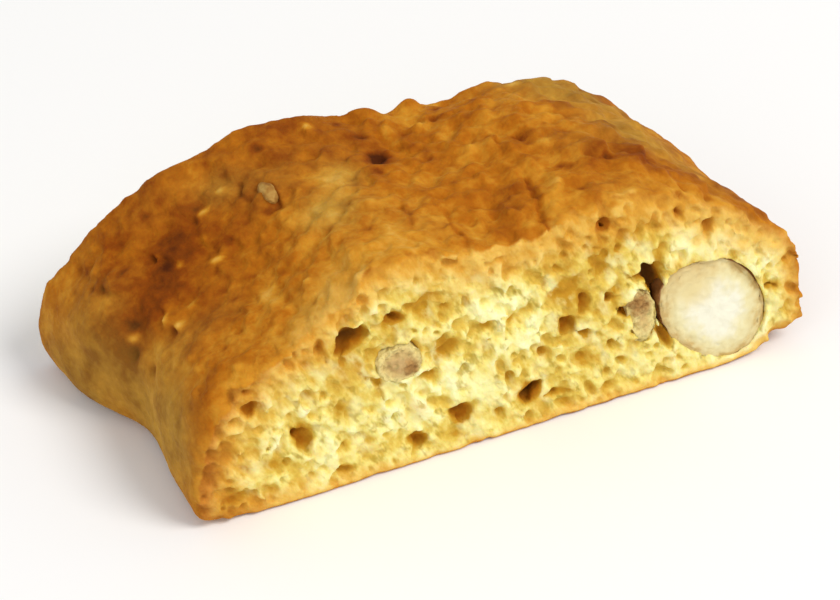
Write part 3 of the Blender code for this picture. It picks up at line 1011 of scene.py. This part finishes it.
def make_nut(name, material, rings=64):
    """A nut cut by the same knife as the dough. Its cut face is a little domed and uneven."""
    _, radii, tilt, lumpiness = NUTS[name]
    depth, slope_across, slope_up, doming, unevenness, *patch = NUT_FACES[name]
    rear = name == "nut_rear"
    mesh, unit = unit_ball(name + "_look", rings)
    ragged = NUT_RAGGEDNESS / min(radii) * roughness_at(unit * radii, 1.0)
    swollen = 1 + lumpiness * swelling(*unit.T) + ragged
    out = unit * np.array(radii) * swollen[:, None]
    x, z = turned(out[:, 0], out[:, 2], -tilt)
    points = np.stack([x, out[:, 1], z], -1) + nut_centre(name)

    front, behind = cut_distances(points[:, 0], points[:, 1])
    proud = behind if rear else front
    reach = np.hypot(out[:, 0] / radii[0], out[:, 2] / radii[2])
    sink = depth + slope_across * x + slope_up * z + doming * reach**4
    sink = np.maximum(sink + unevenness * roughness_at(points, 1.2), 0.02)
    cut_off = np.maximum(proud + sink, 0)
    direction = (-math.sin(REAR_TURN), -math.cos(REAR_TURN), 0) if rear else (0, 1, 0)
    points = points + cut_off[:, None] * np.array(direction)
    piece = add_piece(name + "_look", mesh, points, material)
    set_values(piece, "edge", np.where(cut_off > 0, (1 - reach) * min(radii[0], radii[2]), 0))
    set_values(piece, "core", hill(np.hypot(x - patch[0], z - patch[1]), patch[2]))
    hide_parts(name)
    return piece


def make_chip(material):
    """A chip of nut that shows in the crust."""
    angle, behind, radii, height = CHIP
    mesh, unit = unit_ball("nut_chip", 24)
    out = unit * np.array(radii) * (1 + 0.15 * roughness_at(unit, 1.0))[:, None]
    centre = loaf_point(angle, behind)
    outward = centre * (1, 0, 1) / np.hypot(centre[0], centre[2])
    points = out + centre + outward * height + (AXIS_X, FRONT_Y, AXIS_HEIGHT)
    return add_piece("nut_chip", mesh, points, material)


# The dough


def set_crumb_values(piece, points, angle, depth, patches):
    """Stores what the cuts' colours follow. The depth under the cut darkens the crumb as painted shade,
    most inside the larger holes.
    """
    front, rear = cut_distances(points[:, 0], points[:, 1])
    at, reach, darkness = zip(*TOASTING)
    share = np.maximum(depth, 0) / (np.interp(angle, at, reach) * (1 + 0.15 * patches))
    # Painted shade: the crumb's colour darkens with this depth under the cut, and further inside the larger
    # holes, where part of the darkening is their own browning.
    sunk = np.minimum(-front, -rear) - 0.16
    sunk += hole_browning_and_shade(points, front, FRONT_HOLES) + hole_browning_and_shade(points, rear, REAR_HOLES)
    for across, height, size, amount in CRUMB_PATCHES:
        away = np.hypot(points[:, 0] - AXIS_X - across, points[:, 2] - height)
        sunk -= amount * hill(away, size) * (front > -3)
    set_values(piece, "sunk", sunk)
    set_values(piece, "depth", depth - WORN_BROWNING * worn_edge(angle) * (front > -3))
    set_values(piece, "toast", np.exp(-(share**1.5)))
    set_values(piece, "dark", np.interp(angle, at, darkness) * np.exp(-((2 * share) ** 2)))


def make_dough():
    low, high = (np.array(corner) / MM for corner in CAD_BOX)
    grid = Grid(low - 3 * GRID_STEP, high + 3 * GRID_STEP, GRID_STEP)
    net = CrustNet()
    fine_grain = lumps(grid, 0.5, 1)
    grain = lumps(grid, 1.3, 2)
    cells = slanted_lumps(grid, 0.65, 6)
    patches = lumps(grid, 3.5, 3)
    broad = lumps(grid, 9.0, 4)
    field, crust = dough_fields(grid, net, cells, grain, fine_grain, patches)
    cell, points = surface_points(grid, field)
    piece = make_object("dough", points, surface_faces(grid, field, cell))
    thin_out(piece, MOST_TRIANGLES)

    points = mesh_points(piece.data) / MM
    angle, behind = loaf_place(*points.T)[0], points[:, 1] - FRONT_Y
    bake_and_painted_light = crust_bake_and_painted_light(net, *(net.sampled(grid, volume) for volume in (grain, patches, broad)))
    tan = crust_tan(net, net.sampled(grid, patches))
    set_values(piece, "bake_and_painted_light", net.look_up(bake_and_painted_light, angle, behind))
    set_values(piece, "tan", net.look_up(tan, angle, behind))
    set_crumb_values(piece, points, angle, -grid.at(crust, points), grid.at(patches, points))
    piece.data.materials.append(dough_material())
    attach(piece, "root")
    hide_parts("biscuit")


# The studio


def add_area_light(name, place, aim, size, power, colour):
    light = bpy.data.lights.new(name, "AREA")
    light.shape = "DISK"
    light.size = size
    light.energy = power
    light.color = colour
    lamp = add_object(name, light)
    lamp.location = place
    lamp.rotation_euler = (Vector(aim) - Vector(place)).to_track_quat("-Z", "Y").to_euler()


def make_studio():
    bpy.ops.mesh.primitive_plane_add(size=4)
    floor = bpy.context.object
    floor.name = "floor"
    look = Shading("floor")
    floor.data.materials.append(look.finish((0.92, 0.92, 0.92, 1), 0.9, 0.0))
    add_area_light("key", (0.35, -0.45, 0.75), (0, 0, 0.01), 0.45, 5, (1.0, 0.97, 0.92))
    add_area_light("fill", (-0.6, -0.5, 0.5), (0, 0, 0.01), 0.8, 1.5, (0.95, 0.97, 1.0))
    world = bpy.data.worlds.new("world")
    world.use_nodes = True
    background = world.node_tree.nodes["Background"]
    background.inputs["Color"].default_value = (1, 1, 1, 1)
    background.inputs["Strength"].default_value = 0.6
    bpy.context.scene.world = world
    bpy.context.scene.view_settings.view_transform = "Standard"


def make_camera():
    azimuth, elevation = math.radians(CAMERA_AZIMUTH), math.radians(CAMERA_ELEVATION)
    level = math.cos(elevation)
    away = Vector((math.sin(azimuth) * level, -math.cos(azimuth) * level, math.sin(elevation)))
    data = bpy.data.cameras.new("camera")
    data.lens = LENS
    data.sensor_width = 36
    data.clip_start = 0.01
    camera = add_object("camera", data)
    camera.location = Vector(CAMERA_AIM) + away * CAMERA_DISTANCE
    camera.rotation_euler = (-away).to_track_quat("-Z", "Y").to_euler()
    bpy.context.scene.camera = camera


make_camera()
make_studio()
make_dough()
flesh = flesh_material()
fragment = fragment_material()
for name, material, slot in (
    ("nut_large", flesh, "nut_flesh"),
    ("nut_rear", flesh, "nut_flesh"),
    ("nut_small", fragment, "nut_flesh"),
    ("nut_shard", fragment, "nut_skin"),
):
    make_nut(name, material)
make_chip(chip_material())
